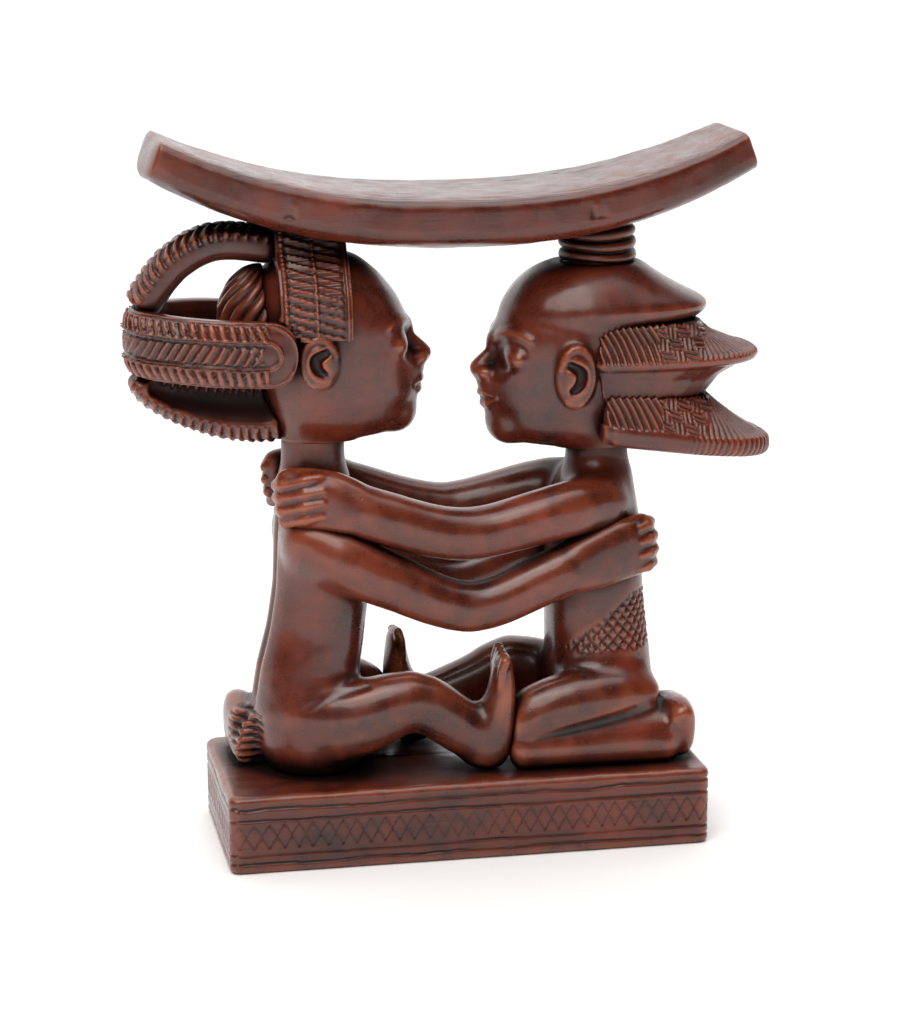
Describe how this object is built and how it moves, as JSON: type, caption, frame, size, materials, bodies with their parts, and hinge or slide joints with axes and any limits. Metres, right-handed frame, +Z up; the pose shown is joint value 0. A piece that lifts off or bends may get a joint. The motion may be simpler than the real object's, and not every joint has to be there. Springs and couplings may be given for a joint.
{
  "type": "carved double-figure headrest",
  "caption": "Carved wooden headrest: a curved neck rest held up by a pair of seated figures who face and embrace each other on a rectangular plinth.",
  "frame": {"origin": "centre of the plinth's flat underside, on the surface that the headrest stands on", "axes": "+Z up; +X along the plinth, from the figure with the braided loop towards the figure with the tiered hair; +Y from the near side to the far side"},
  "size_m": [0.1607, 0.052, 0.1762],
  "materials": {
    "body_wood": "dark red-brown hardwood, smooth and polished, orange-red where light strikes it, darker in the hollows",
    "hair_wood": "the same hardwood, carved with rows of fine ridges whose grooves hold dark polish",
    "ring_wood": "the same hardwood, turned-looking rings, darkened with polish",
    "plinth_wood": "the same hardwood, hand-cut faces with a band of crossed cuts between grooves",
    "rest_wood": "the same hardwood, worn smooth by use, with lengthwise grain and small nicks"
  },
  "bodies": {
    "root": {"plinth": "plinth_wood", "neck_rest": "rest_wood", "left_torso": "body_wood", "left_head": "body_wood", "left_headband": "hair_wood", "left_side_braid": "hair_wood", "left_upper_braid": "hair_wood", "left_lower_braid": "hair_wood", "left_bun": "hair_wood", "right_torso": "body_wood", "right_head": "body_wood", "right_cap": "hair_wood", "right_middle_tier": "hair_wood", "right_lower_tier": "hair_wood", "right_rings": "ring_wood", "left_near_ear": "body_wood", "right_near_ear": "body_wood", "left_near_arm": "body_wood", "left_near_hand": "body_wood", "right_near_arm": "body_wood", "right_near_hand": "body_wood", "left_far_ear": "body_wood", "right_far_ear": "body_wood", "left_far_arm": "body_wood", "left_far_hand": "body_wood", "right_far_arm": "body_wood", "right_far_hand": "body_wood", "left_near_leg": "body_wood", "left_near_foot": "body_wood", "right_far_leg": "body_wood", "right_far_foot": "body_wood", "left_far_thigh": "body_wood", "left_far_shin": "body_wood", "left_far_foot": "body_wood", "right_near_thigh": "body_wood", "right_near_shin": "body_wood", "right_near_foot": "body_wood"}
  },
  "joints": []
}
